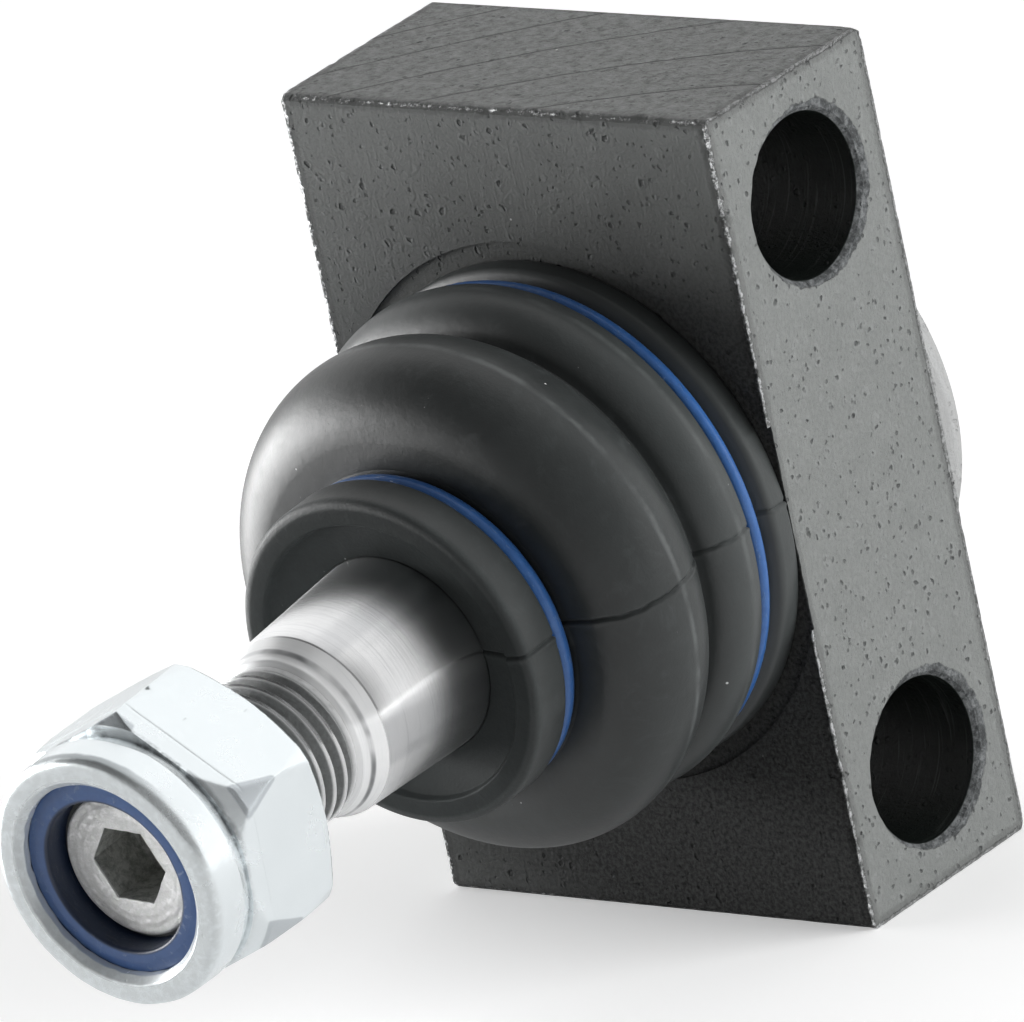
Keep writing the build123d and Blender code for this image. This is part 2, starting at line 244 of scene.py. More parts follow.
def boot_outline():
    """Outline of the boot's wall, outside from base to collar and back inside."""
    rear_place, rear_middle, rear_size = REAR_FOLD
    front_place, front_middle, front_size = FRONT_FOLD
    groove_start, groove_end = BASE_GROOVE
    ring_start, ring_end = COLLAR_GROOVE
    corners = [
        (LIP_SEAT, BOSS_FIT, 0),
        (LIP_SEAT, LIP_RADIUS, 0.35),
        (7.7, LIP_RADIUS, 0.7),
        (groove_start, BASE_GROOVE_FLOOR, 0.4),
        (groove_end, BASE_GROOVE_FLOOR, 0.25),
        (groove_end + 0.15, 21.2, 0.3),
    ]
    corners += [(p, r, 0) for p, r in arc(rear_place, rear_middle, rear_size, -24, 74, 26)]
    corners += [(15.42, 19.35, 0.25)]
    corners += [(p, r, 0) for p, r in arc(front_place, front_middle, front_size, -53, 88, 44)]
    corners += [
        (25.9, 14.1, 0.25),
        (ring_start, COLLAR_GROOVE_FLOOR, 0.2),
        (ring_end, COLLAR_GROOVE_FLOOR, 0.2),
        (28.05, COLLAR_RADIUS, 0.45),
        (COLLAR_END, COLLAR_RADIUS, 0.8),
        (COLLAR_END, 12.25, 0.25),
        (31.45, 12.05, 0.2),
        (30.5, 8.74, 0.1),
        (24.6, 9.02, 0),
    ]
    outside = len(rounded(corners)) - 2
    inner = arc(front_place, front_middle, front_size - BOOT_WALL, 88, -50, 30)
    inner += arc(rear_place, rear_middle, rear_size - BOOT_WALL, 60, -50, 14)
    corners += [(p, r, 0) for p, r in inner]
    corners += [(10.6, BOSS_FIT, 0)]
    return rounded(corners), outside


def boot_axis(place):
    """The boot's own axis turns from the socket's to the stud's along its folds."""
    low, high = BEND
    return leaning(min(1.0, max(0.0, (place - low) / (high - low))))


def make_boot():
    """Moulded boot: both skins, with the mould's parting line raised on the outside."""
    fine = np.array([-3.4, -2.2, -1.5, -1.0, -0.7, -0.45, -0.22, 0, 0.22, 0.45, 0.7, 1.0, 1.5, 2.2, 3.4])
    degrees = set(np.arange(0, 360, 2.0))
    for line in MOULD_LINES:
        degrees = {a for a in degrees if abs((a - line + 180) % 360 - 180) > 4}
        degrees |= set((line + fine) % 360)
    angles = np.radians(sorted(degrees))
    outline, outside = boot_outline()
    total = len(outline)
    vertices = []
    for row, (place, radius) in enumerate(outline):
        height = np.zeros(angles.shape)
        if 0 < row < outside:
            for line in MOULD_LINES:
                off = ((np.degrees(angles) - line + 180) % 360 - 180) * math.pi / 180 * radius
                wander = 0.05 * math.sin(place * 2.1) + 0.04 * math.sin(place * 5.3)
                off = off + wander
                ridge = LINE_RIDGE * np.exp(-(((off + 0.28) / 0.2) ** 2))
                height += ridge - LINE_GROOVE * np.exp(-((off / 0.12) ** 2))
        back, ahead = np.array(outline[row - 1]), np.array(outline[(row + 1) % total])
        run = (ahead - back) / np.linalg.norm(ahead - back)
        axis = boot_axis(place)
        points = ring_points(axis, place - run[1] * height, radius + run[0] * height, angles)
        vertices.append(points)
    faces = grid_faces(total, len(angles), wrap_rows=True)
    return mesh_object("boot_rubber_skin", np.concatenate(vertices), faces, 40)


def thread_depth(phase):
    """Depth of a 60 degree thread by its phase along one pitch, 0 to 1."""
    crest, root = 0.09, 0.16
    rise = 0.5 - crest / 2 - root / 2
    off = abs((phase + 0.5) % 1.0 - 0.5)
    return THREAD_DEPTH * min(1.0, max(0.0, (off - crest / 2) / rise))


def stud_envelope(place):
    """Outer shape of the stud's threaded end, which cuts the thread's crests."""
    places = [RELIEF_START, THREAD_LOW, 46.2, 46.75, STUD_END - 0.95, STUD_END]
    radii = [7.12, RELIEF_RADIUS, RELIEF_RADIUS, THREAD_RADIUS, THREAD_RADIUS, STUD_END_RADIUS]
    return np.interp(place, places, radii)


def make_stud():
    """Ball, neck, taper and a real helical thread, closed by the end face and socket."""
    columns = 144
    angles = np.linspace(0, FULL_TURN, columns, endpoint=False)
    rings = []

    def ring(place, radii):
        rings.append(ring_points(STUD_AXIS, place, radii, angles))

    # Ball with a flat, neck, flare and taper
    ring(-BALL_FLAT, 0.0)
    start = math.degrees(math.acos(-BALL_FLAT / BALL_RADIUS))
    end = math.degrees(math.asin(NECK_RADIUS / BALL_RADIUS))
    for angle in np.radians(np.linspace(start, end, 40)):
        ring(BALL_RADIUS * math.cos(angle), BALL_RADIUS * math.sin(angle))
    taper_start, flare_start = 19.6, 15.4
    wide = TAPER_RADIUS + (TAPER_END - taper_start) / 20
    for t in np.linspace(0, 1, 12):
        ease = t * t * (3 - 2 * t)
        ring(flare_start + (taper_start - flare_start) * t, NECK_RADIUS + (wide - NECK_RADIUS) * ease)
    for t in np.linspace(0.1, 0.995, 10):
        ring(taper_start + (TAPER_END - taper_start) * t, wide + (TAPER_RADIUS - wide) * t)
    turned = [(TAPER_END, 8.0), (TAPER_END + 0.14, 7.9), (44.6, 7.4), (44.78, 7.3), (44.95, 7.16)]
    turned += [(RELIEF_START + 0.3, 7.1), (45.42, 7.0), (45.6, 6.68)]
    for place, radius in turned:
        ring(place, radius)

    # Helical grid: rows follow the thread, held between the relief and the end
    steps = THREAD_STEPS
    low, high = THREAD_LOW, STUD_END
    first_row = len(rings)
    for row in range((int((high - low) / THREAD_PITCH) + 3) * steps):
        place = low - THREAD_PITCH + row * THREAD_PITCH / steps + THREAD_PITCH * angles / FULL_TURN
        held = np.clip(place, low, high)
        fade = np.clip((held - 46.3) / 0.7, 0, 1)
        radii = np.minimum(stud_envelope(held), THREAD_RADIUS - thread_depth(row / steps) * fade)
        uneven = 0.025 * rough(ring_points(STUD_AXIS, held, radii, angles), 0.7, 3)
        radii = np.where(held <= low, RELIEF_RADIUS, radii + uneven)
        ring(held, np.where(held >= high, STUD_END_RADIUS, radii))
    last_row = len(rings) - 1

    # Turned end face with a burr, the hexagon socket and its drilled bottom
    sector = (np.degrees(angles) - SOCKET_CORNER) % 60 - 30
    hexagon = SOCKET_WIDTH / 2 / np.cos(np.radians(sector))
    for radius in np.linspace(STUD_END_RADIUS - 0.12, 4.1, 14):
        around = np.array([radius * np.cos(angles), radius * np.sin(angles), 0 * angles]).T
        wave = 0.035 * math.sin(radius * 9) + 0.05 * rough(around, 0.8, 5)
        ring(STUD_END + wave, radius)
    around = np.array([np.cos(angles), np.sin(angles), 0 * angles]).T * 3.6
    burr = 0.09 * np.clip(rough(around, 0.6, 8) + 0.3, 0, 1)
    ring(STUD_END + burr, hexagon + 0.24)
    ring(STUD_END - 0.05 + burr / 2, hexagon + 0.06 * rough(around, 0.7, 9))
    ring(STUD_END - 0.35, hexagon)
    ring(STUD_END - SOCKET_DEPTH, hexagon)
    ring(STUD_END - SOCKET_DEPTH, 2.95)
    ring(STUD_END - SOCKET_DEPTH - 1.1, 0.0)
    partners = list(range(len(rings)))
    for row in range(first_row, last_row + 1):
        partners[row] = min(row + steps, last_row)
    faces = grid_faces(len(rings), columns, partners=partners)
    return mesh_object("stud_with_thread", np.concatenate(rings), faces, 35)


def soft_min(values, blend):
    """Smallest of several arrays, with the crossing rounded over about blend."""
    values = np.array(np.broadcast_arrays(*values))
    low = values.min(axis=0)
    return low - blend * np.log(np.exp(-(values - low) / blend).sum(axis=0))


def make_nut():
    """Hexagon with chamfered ends and a rolled collar, on a fine polar grid."""
    per_side = 40
    spread = np.linspace(-1, 1, per_side, endpoint=False)
    sector = 30 * np.sign(spread) * (1 - (1 - np.abs(spread)) ** 1.7)
    flats = NUT_TURN + 30 + 60 * np.arange(6)
    angles = np.radians(np.sort((np.add.outer(flats, sector).ravel() + 360) % 360))
    across = [NUT_WIDTH / 2 / np.maximum(np.cos(angles - math.radians(f)), 0.2) for f in flats]
    hexagon = soft_min(across, 0.035)
    peaks = np.array(NUT_CORNER)
    turned = np.degrees(angles) - LATE_CORNER
    late = LATE_SHIFT * np.exp(-((((turned + 180) % 360 - 180) / LATE_SPREAD) ** 2))
    rings = []

    def ring(place, radii):
        rings.append(ring_points(STUD_AXIS, place, radii, angles))

    ring(NUT_BACK, 7.9)
    for place in np.linspace(NUT_BACK, HEXAGON_END, 120):
        crease = 0.05 * math.exp(-(((place - NUT_CREASE) / 0.09) ** 2))
        taper = 0.16 * max(0.0, (place - NUT_CREASE) / (HEXAGON_END - NUT_CREASE))
        sides = hexagon - crease - taper
        sides = sides + 0.02 * rough(ring_points(STUD_AXIS, place, hexagon, angles), 2.5, 4)
        shift = late * float(np.clip((place - NUT_CORNER[2][0]) / 0.5, 0, 1))
        corner = np.interp(place - shift, *peaks.T)
        last_corner = np.interp(place, (HEXAGON_END - 0.9, HEXAGON_END), (12.8, 11.6))
        corner = np.minimum(corner, last_corner)
        ring(place, soft_min([sides, corner], 0.045))
    collar = [
        (HEXAGON_END + 0.05, 10.62, 0.25),
        (HEXAGON_END + 1.1, 10.95, 0.9),
        (NUT_FRONT, 10.85, 2.3),
        (NUT_FRONT, 8.9, 0.45),
        (NUT_FRONT - 0.6, LIP_HOLE, 0.2),
        (NUT_FRONT - 1.3, LIP_HOLE, 0.1),
        (NUT_FRONT - 1.3, 8.93, 0),
        (INSERT_FLOOR, 8.93, 0),
        (INSERT_FLOOR, NUT_THREAD_RADIUS, 0),
        (NUT_BACK + 0.7, NUT_THREAD_RADIUS, 0),
    ]
    for place, radius in rounded(collar, 9):
        ragged = 0.0
        if place > HEXAGON_END + 2 and radius > LIP_HOLE - 0.1:
            points = ring_points(STUD_AXIS, place, radius, angles)
            lip = math.exp(-(((radius - 8.6) / 0.5) ** 2))
            ragged = (0.02 + 0.07 * lip) * rough(points, 1.1, 6)
        ring(place + ragged, radius + ragged)
    vertices = np.concatenate(rings)
    faces = grid_faces(len(rings), len(angles), wrap_rows=True)
    return mesh_object("nut_zinc_body", vertices, faces, 30)


def make_ring(name, axis, place, radius, wire):
    """Wire ring with a slightly uneven course round an axis."""
    angles = np.linspace(0, FULL_TURN, 240, endpoint=False)
    wander = 0.05 * rough(ring_points(axis, place, radius, angles), 0.12, 2)
    rings = []
    for turn in np.linspace(0, FULL_TURN, 20, endpoint=False):
        along = place + wire * math.sin(turn) + wander
        around = radius + wire * math.cos(turn) + wander
        rings.append(ring_points(axis, along, around, angles))
    faces = grid_faces(len(rings), len(angles), wrap_rows=True)
    return mesh_object(name, np.concatenate(rings), faces, 40)


def make_insert():
    """Nylon ring in the nut's collar, with a soft edge and slight unevenness."""
    angles = np.linspace(0, FULL_TURN, 120, endpoint=False)
    back = INSERT_FRONT - INSERT_LENGTH
    corners = [
        (back, 8.88, 0.2),
        (INSERT_FRONT - 0.75, 8.88, 0.3),
        (INSERT_FRONT - 0.12, 8.3, 0.3),
        (INSERT_FRONT, 7.5, 0.3),
        (INSERT_FRONT, INSERT_HOLE, 0.35),
        (back, INSERT_HOLE, 0.2),
    ]
    vertices = []
    for place, radius in rounded(corners, 6):
        uneven = 0.03 * rough(ring_points(STUD_AXIS, place, radius, angles), 1.4, 2)
        vertices.append(ring_points(STUD_AXIS, place + uneven, radius, angles))
    faces = grid_faces(len(vertices), len(angles), wrap_rows=True)
    return mesh_object("insert_nylon_ring", np.concatenate(vertices), faces, 40)


def block_wear(points):
    """How worn surface points are by the block's edges, and which lie on a bore's mouth."""
    edge_distance = np.sort(np.array(BLOCK_HALF) - np.abs(points), axis=1)[:, 1]
    worn = np.clip(1 - edge_distance / 0.7, 0, 1)
    worn *= points[:, 1] < BLOCK_HALF[1] + 0.01

    # The right, front and top faces meet in the most knocked edges
    knocked = (points[:, 0] > 20.8).astype(int) + (points[:, 1] < -9.4) + (points[:, 2] > 34.0)
    worn *= np.where(knocked > 1, 1.0, 0.15)
    bore = np.hypot(points[:, 1], np.abs(points[:, 2]) - BOLT_OFFSET)
    mouth = (bore > 6.9) & (bore < 7.5) & (np.abs(points[:, 0]) > BLOCK_HALF[0] - 0.05)
    return worn, mouth


def chip_move(place, worn, on_mouth):
    """Move of one of the block's points in millimetres: jitter, and chips at its edges."""
    jitter = noise.noise_vector(place / 0.55) * 0.13 + noise.noise_vector(place / 1.7) * 0.10
    if on_mouth:
        return Vector((0, jitter.y, jitter.z)) * 1.2
    chip = max(0.0, noise.noise(place / 1.3 + Vector((3, 5, 9)))) ** 2 * 0.9
    near = [half - abs(p) < CHIP_REACH + 0.05 for p, half in zip(place, BLOCK_HALF)]
    inward = Vector([-math.copysign(1.0, p) if close else 0.0 for p, close in zip(place, near)])
    return (0.8 * jitter + inward * (0.03 + 0.8 * chip)) * worn


def cut(shape, geometry, axis, at):
    """Cut geometry by a plane square to an axis, and return it with its new parts."""
    place, normal = [0, 0, 0], [0, 0, 0]
    place[axis], normal[axis] = at * MM, 1
    made = bmesh.ops.bisect_plane(shape, geom=geometry, dist=1e-7, plane_co=place, plane_no=normal)
    return made["geom"]


def edge_strips(shape, axis):
    """Faces along the block's edges that run along an axis, with their edges and corners."""
    others = [i for i in range(3) if i != axis]
    strips = []
    for face in shape.faces:
        centre = face.calc_center_median() / MM
        if all(abs(centre[i]) > BLOCK_HALF[i] - CHIP_REACH for i in others):
            strips.append(face)
    corners = dict.fromkeys(v for face in strips for v in face.verts)
    edges = dict.fromkeys(e for face in strips for e in face.edges)
    return [*corners, *edges, *strips]


def make_block():
    """The housing's CAD mesh with its outer edges and bore mouths chipped."""
    shape = bmesh.new()
    shape.from_mesh(frame["nodes"]["housing_block"].data)
    bmesh.ops.remove_doubles(shape, verts=shape.verts, dist=1e-6)
    for axis, half in enumerate(BLOCK_HALF):
        for at in (half - CHIP_REACH, half - 0.4, 0.4 - half, CHIP_REACH - half):
            cut(shape, [*shape.verts, *shape.edges, *shape.faces], axis, at)
    for axis, half in enumerate(BLOCK_HALF):
        strips = edge_strips(shape, axis)
        for at in np.arange(0.7 - half, half - 0.6, CHIP_STEP):
            strips = cut(shape, strips, axis, at)
    shape.verts.ensure_lookup_table()

    # Vector noise takes its seed from the clock unless one is set
    noise.seed_set(CHIP_SEED)
    points = np.array([v.co for v in shape.verts]) / MM
    worn, mouth = block_wear(points)
    for i in np.flatnonzero((worn > 0) | mouth):
        shape.verts[i].co += chip_move(Vector(points[i]), float(worn[i]), mouth[i]) * MM
    return shaded_object(shape, bpy.data.meshes.new("block_forged_steel"), 28)


class NodeTree:
    """Shader nodes under construction, with short names for the usual ones."""

    def __init__(self, tree):
        self.nodes = tree.nodes
        self.links = tree.links

    def put(self, value, socket):
        """Link a node's output to a socket, or set a plain number or colour on it."""
        if isinstance(value, bpy.types.NodeSocket):
            self.links.new(value, socket)
        elif isinstance(value, (tuple, list)) and len(socket.default_value) == 4:
            socket.default_value = (*value[:3], 1)
        else:
            socket.default_value = value

    def math(self, operation, *values):
        node = self.nodes.new("ShaderNodeMath")
        node.operation = operation
        for value, socket in zip(values, node.inputs):
            self.put(value, socket)
        return node.outputs[0]

    def product(self, first, *others):
        """Product of two or more numbers, for a mask inside other masks."""
        for other in others:
            first = self.math("MULTIPLY", first, other)
        return first

    def total(self, *terms):
        """Sum of (height, amount) terms."""
        scaled = [self.math("MULTIPLY", value, amount) for value, amount in terms]
        result = scaled[0]
        for term in scaled[1:]:
            result = self.math("ADD", result, term)
        return result

    def off(self, value, middle):
        """Distance of a number from a middle."""
        return self.math("ABSOLUTE", self.math("SUBTRACT", value, middle))

    def vector(self, operation, *values, scale=None):
        node = self.nodes.new("ShaderNodeVectorMath")
        node.operation = operation
        for value, socket in zip(values, node.inputs):
            self.put(value, socket)
        if scale is not None:
            node.inputs["Scale"].default_value = scale
        plain = operation in ("DOT_PRODUCT", "LENGTH", "DISTANCE")
        return node.outputs["Value" if plain else "Vector"]

    def split(self, value):
        node = self.nodes.new("ShaderNodeSeparateXYZ")
        self.put(value, node.inputs[0])
        return node.outputs[0], node.outputs[1], node.outputs[2]

    def step(self, value, low, high):
        """Smooth step from 0 at low to 1 at high."""
        node = self.nodes.new("ShaderNodeMapRange")
        node.interpolation_type = "SMOOTHSTEP"
        self.put(value, node.inputs["Value"])
        node.inputs["From Min"].default_value = low
        node.inputs["From Max"].default_value = high
        return node.outputs["Result"]

    def mix(self, share, first, second):
        """Colour that goes from first to second."""
        node = self.nodes.new("ShaderNodeMix")
        node.data_type = "RGBA"
        self.put(share, node.inputs["Factor"])
        self.put(first, node.inputs[6])
        self.put(second, node.inputs[7])
        return node.outputs[2]

    def blend(self, share, first, second):
        """Number that goes from first to second."""
        node = self.nodes.new("ShaderNodeMix")
        node.data_type = "FLOAT"
        self.put(share, node.inputs["Factor"])
        self.put(first, node.inputs[2])
        self.put(second, node.inputs[3])
        return node.outputs[0]

    def tint(self, base, mask, strength, colour):
        """A base with a colour laid over it where a mask is, up to a strength."""
        return self.mix(self.math("MULTIPLY", mask, strength), base, colour)


class Material(NodeTree):
    """Node material under construction. Its lengths are millimetres in the part's frame."""

    def __init__(self, name):
        self.made = bpy.data.materials.new(name)
        self.made.use_nodes = True
        super().__init__(self.made.node_tree)
        self.shader = self.nodes["Principled BSDF"]
        coordinates = self.nodes.new("ShaderNodeTexCoord").outputs["Object"]
        self.place = self.vector("SCALE", coordinates, scale=1 / MM)
        self.x, self.y, self.z = self.split(self.place)

    def set(self, **values):
        """Set the shader's sockets by name, with _ for a space."""
        for name, value in values.items():
            self.put(value, self.shader.inputs[name.replace("_", " ")])

    def stretched(self, x, y, z):
        """The part's coordinates, each multiplied, for marks longer one way."""
        return self.vector("MULTIPLY", self.place, (x, y, z))

    def noise(self, scale, detail=4, roughness=0.6, at=None, warp=0.0):
        """Noise between 0 and 1 with about scale features in a millimetre."""
        node = self.nodes.new("ShaderNodeTexNoise")
        self.put(at or self.place, node.inputs["Vector"])
        node.inputs["Scale"].default_value = scale
        node.inputs["Detail"].default_value = detail
        node.inputs["Roughness"].default_value = roughness
        node.inputs["Distortion"].default_value = warp
        return node.outputs["Fac"]

    def patches(self, scale, low, high, **choices):
        """Mask of noise patches, whose edges run from low to high."""
        return self.step(self.noise(scale, **choices), low, high)

    def uneven(self, value, scale, amount, detail=4, roughness=0.6):
        """A number with noise added to it, for a ragged edge."""
        wander = self.math("MULTIPLY", self.noise(scale, detail, roughness), amount)
        return self.math("ADD", value, wander)

    def jumbled(self, scale, amount):
        """The part's coordinates shifted by coloured noise, for ragged outlines."""
        node = self.nodes.new("ShaderNodeTexNoise")
        self.put(self.place, node.inputs["Vector"])
        node.inputs["Scale"].default_value = scale
        return self.vector("ADD", self.place, self.vector("SCALE", node.outputs["Color"], scale=amount))

    def spots(self, scale, size, share, at=None):
        """Height of small spots in a share of the cells, each of its own size."""
        node = self.nodes.new("ShaderNodeTexVoronoi")
        self.put(at or self.place, node.inputs["Vector"])
        node.inputs["Scale"].default_value = scale
        chance = self.split(node.outputs["Color"])[0]
        reach = self.math("MULTIPLY", self.step(chance, 1 - share, 1.0), size)
        return self.math("MULTIPLY", self.math("SUBTRACT", reach, node.outputs["Distance"]), 1 / size)

    def relief(self, *terms):
        """Bump from (height, amount) terms in millimetres."""
        node = self.nodes.new("ShaderNodeBump")
        node.inputs["Strength"].default_value = 1.0
        node.inputs["Distance"].default_value = MM
        self.put(self.total(*terms), node.inputs["Height"])
        self.links.new(node.outputs["Normal"], self.shader.inputs["Normal"])

    def along(self, axis):
        """Place along an axis and distance from it, from the ball's centre."""
        offset = self.vector("SUBTRACT", self.place, tuple(BALL))
        place = self.vector("DOT_PRODUCT", offset, tuple(axis))
        across = self.vector("CROSS_PRODUCT", offset, tuple(axis))
        return place, self.vector("LENGTH", across)


def grey(value):
    """Colour without a hue."""
    return (value, value, value)


def sawn_end(m):
    """Masks of the block's ends: the whole end, deep saw lines and faint ones."""
    end = m.math("GREATER_THAN", m.math("ABSOLUTE", m.z), BLOCK_HALF[2] - 0.12)
    curve = m.math("MULTIPLY", m.math("POWER", m.x, 2.0), SAW_CURVE)
    sawn = m.math("ADD", m.math("SUBTRACT", m.y, m.math("MULTIPLY", m.x, SAW_SLANT)), curve)
    sawn = m.uneven(sawn, 0.25, 0.5, detail=3)
    period = m.math("PINGPONG", m.math("SUBTRACT", sawn, SAW_START), SAW_SPACING)
    line = m.product(m.step(period, 0.2, 0.04), end)
    faint = m.step(m.math("PINGPONG", m.math("ADD", sawn, 0.9), FAINT_SPACING), 0.12, 0.02)
    faint = m.product(faint, m.product(end, m.patches(0.2, 0.42, 0.6, detail=2)))
    return end, line, faint


def front_oil_and_shade(m, sides):
    """Masks of the block's front, and of its darkening round the boot: partly an oil stain, partly painted
    shade, darkest low to the right.
    """
    front = m.step(m.y, 1.1 - BLOCK_HALF[1], 0.6 - BLOCK_HALF[1])
    front = m.product(front, m.step(sides, 0.02, 0.2))
    from_oil_and_shade = m.vector("DISTANCE", m.stretched(1, 0, 1), OIL_AND_SHADE_MIDDLE)
    # The darkening's middle sits low to the right, where the boot's shade is painted along with the oil
    oil_and_shade = m.step(m.uneven(from_oil_and_shade, 0.12, 6.0), *OIL_AND_SHADE_EDGE)
    return front, m.product(oil_and_shade, front)


def bolt_bores(m):
    """Masks of the bores' walls and of their rough mouths, deeper on the back's side."""
    bolt = m.math("SUBTRACT", m.math("ABSOLUTE", m.z), BOLT_OFFSET)
    bore = m.math("SQRT", m.math("ADD", m.math("POWER", m.y, 2.0), m.math("POWER", bolt, 2.0)))
    in_bore = m.step(bore, BOLT_RADIUS + 0.12, BOLT_RADIUS + 0.04)
    mouth_edge = m.uneven(bore, 0.9, 1.2, detail=6, roughness=0.7)
    mouth_edge = m.math("SUBTRACT", mouth_edge, m.math("MULTIPLY", m.y, 0.07))
    return in_bore, m.step(mouth_edge, MOUTH_REACH + 0.15, MOUTH_REACH)


def worn_edges(m, gaps):
    """Masks of the block's edges, from gaps to its sides: worn, dark beside, bright metal that is partly a
    painted highlight.
    """
    low, high = m.math("MINIMUM", gaps[0], gaps[1]), m.math("MAXIMUM", gaps[0], gaps[1])
    edge = m.math("MAXIMUM", low, m.math("MINIMUM", high, gaps[2]))
    outside = m.math("LESS_THAN", m.math("MINIMUM", low, gaps[2]), 0.5)
    chips = m.math("SUBTRACT", edge, m.math("MULTIPLY", m.noise(1.4, 8, 0.85), 1.35))
    worn = m.product(m.step(chips, -0.32, -0.46), outside)
    dark_side = m.product(m.step(chips, 0.35, 0.0), outside)

    # Most of the bright metal, partly a painted edge highlight, is on the front's edges
    on_front = m.step(m.y, 1.2 - BLOCK_HALF[1], CHIP_REACH - BLOCK_HALF[1])
    bare_metal_and_highlight = m.product(m.patches(2.2, 0.46, 0.56, detail=6, roughness=0.8), worn)
    return worn, dark_side, m.product(bare_metal_and_highlight, m.blend(on_front, 0.35, 1.0))


def pitting(m):
    """Masks of large pits with ragged outlines, their rims, and small pits."""
    pits = m.spots(0.75, 0.30, 0.9, m.jumbled(1.1, 0.9))
    rim = m.product(m.step(pits, -0.6, 0.0), m.step(pits, 0.5, 0.1))
    small = m.step(m.spots(1.5, 0.34, 0.95, m.jumbled(2.0, 0.5)), 0.05, 0.5)
    return m.step(pits, 0.1, 0.6), rim, small


def machined(m, base, in_bore, in_mouth, behind, scratch):
    """Base colour with the drilled bores painted dark as shade, their rough mouths and the boss behind over
    it.
    """
    rust = m.patches(1.4, 0.4, 0.65, detail=6, roughness=0.8)
    mouth = m.mix(rust, (0.03, 0.033, 0.035), (0.20, 0.21, 0.215))
    base = m.tint(base, in_mouth, 0.9, mouth)
    # The bores' walls are painted near black as shade, with paler scratches
    painted_bore_shade = m.tint((0.005, 0.007, 0.006), scratch, 0.45, (0.07, 0.08, 0.075))
    base = m.mix(in_bore, base, painted_bore_shade)
    turned = m.noise(1.0, 4, 0.6, m.stretched(0.3, 5, 0.3))
    return m.mix(behind, base, m.mix(turned, (0.38, 0.385, 0.385), (0.50, 0.505, 0.505)))


def block_material():
    """Dark forged steel: pits, saw lines on top, worn edges with bright metal partly painted as highlight,
    bores painted dark as shade, painted shade on front and top.
    """
    m = Material("block_steel")
    gaps = [m.math("SUBTRACT", h, m.math("ABSOLUTE", p)) for h, p in zip(BLOCK_HALF, (m.x, m.y, m.z))]
    end, line, faint = sawn_end(m)
    front, oil_and_shade = front_oil_and_shade(m, m.math("MINIMUM", gaps[0], gaps[2]))
    worn, dark_side, bare_metal_and_highlight = worn_edges(m, gaps)
    pit, pit_rim, small = pitting(m)
    in_bore, in_mouth = bolt_bores(m)
    behind = m.step(m.y, BLOCK_HALF[1] + 0.02, BLOCK_HALF[1] + 0.2)
    scratch = m.patches(1.0, 0.56, 0.68, detail=5, at=m.stretched(3.2, 0.12, 0.12), warp=0.6)
    mottle = m.noise(0.35, 6, 0.65)
    grain = m.noise(2.6, 6, 0.7)
    streaks = m.noise(1.0, 5, 0.7)
    bright_grain = m.product(m.step(streaks, 0.45, 0.7), end)
    dark_grain = m.product(m.step(streaks, 0.5, 0.3), end)

    # Forged skin, coarse grain and saw lines on the ends, pits and chips, whose bright metal is partly a
    # painted highlight
    base = m.mix(mottle, (0.158, 0.166, 0.161), (0.222, 0.231, 0.225))
    base = m.tint(base, m.step(grain, 0.35, 0.75), 0.35, (0.10, 0.105, 0.105))
    base = m.tint(base, bright_grain, 0.6, (0.30, 0.31, 0.305))
    base = m.tint(base, dark_grain, 0.8, grey(0.05))
    base = m.tint(base, pit_rim, 0.12, (0.28, 0.29, 0.29))
    base = m.tint(base, pit, 0.7, (0.035, 0.038, 0.038))
    base = m.tint(base, small, 0.6, (0.05, 0.053, 0.053))
    base = m.tint(base, line, 0.85, grey(0.03))
    base = m.tint(base, faint, 0.6, grey(0.06))
    base = m.tint(base, dark_side, 0.35, grey(0.06))
    base = m.mix(bare_metal_and_highlight, base, (0.80, 0.81, 0.82))
    base = m.mix(m.step(m.spots(0.42, 0.085, 0.4), 0.2, 0.5), base, grey(0.75))

    # Oil round the boot and painted shade down the front, and painted shade darkening the top
    oil_and_shade_colour = m.mix(m.step(grain, 0.35, 0.65), grey(0.007), grey(0.05))
    base = m.tint(base, oil_and_shade, 0.9, oil_and_shade_colour)
    # Painted shade: the top face is darkened a little
    base = m.tint(base, m.step(m.z, BLOCK_HALF[2] - 0.6, BLOCK_HALF[2] - 0.2), 0.2, grey(0.06))
    base = machined(m, base, in_bore, in_mouth, behind, scratch)

    shine = m.blend(front, 0.4, m.blend(oil_and_shade, 0.08, 0.015))
    shine = m.blend(in_bore, shine, 0.06)
    roughness = m.blend(worn, m.blend(mottle, 0.48, 0.62), 0.32)
    roughness = m.blend(behind, roughness, 0.4)
    metal = m.math("MAXIMUM", bare_metal_and_highlight, m.math("MULTIPLY", behind, 0.4))
    m.set(Base_Color=base, Roughness=roughness, Specular_IOR_Level=shine)
    m.set(Metallic=m.math("MULTIPLY", metal, 0.8))
    m.relief(
        (pit, -0.16),
        (pit_rim, 0.04),
        (small, -0.12),
        (grain, 0.16),
        (line, -0.12),
        (faint, -0.05),
        (m.product(streaks, end), 0.3),
        (m.product(m.noise(2.2, 6, 0.8), worn), 0.2),
        (m.product(m.noise(1.6, 6, 0.8), in_mouth), 0.25),
        (scratch, 0.02),
    )
    return m.made


def crest_highlights(m):
    """Mask of the thin painted highlight line along the crest of each of the boot's folds."""
    wander = m.math("MULTIPLY", m.noise(0.5, 4), 0.5)
    crests = []
    for (place, middle, size), lean in ((REAR_FOLD, REAR_LEAN), (FRONT_FOLD, FRONT_LEAN)):
        height, reach = m.along(leaning(lean))
        off = m.off(m.math("ADD", height, wander), place + 0.25)
        outside = m.step(reach, middle + 0.7 * size, middle + 0.9 * size)
        crests.append(m.product(m.step(off, 0.45, 0.05), outside))
    broken = m.blend(m.patches(0.25, 0.4, 0.65), 0.08, 0.45)
    return m.product(m.math("MAXIMUM", *crests), broken)


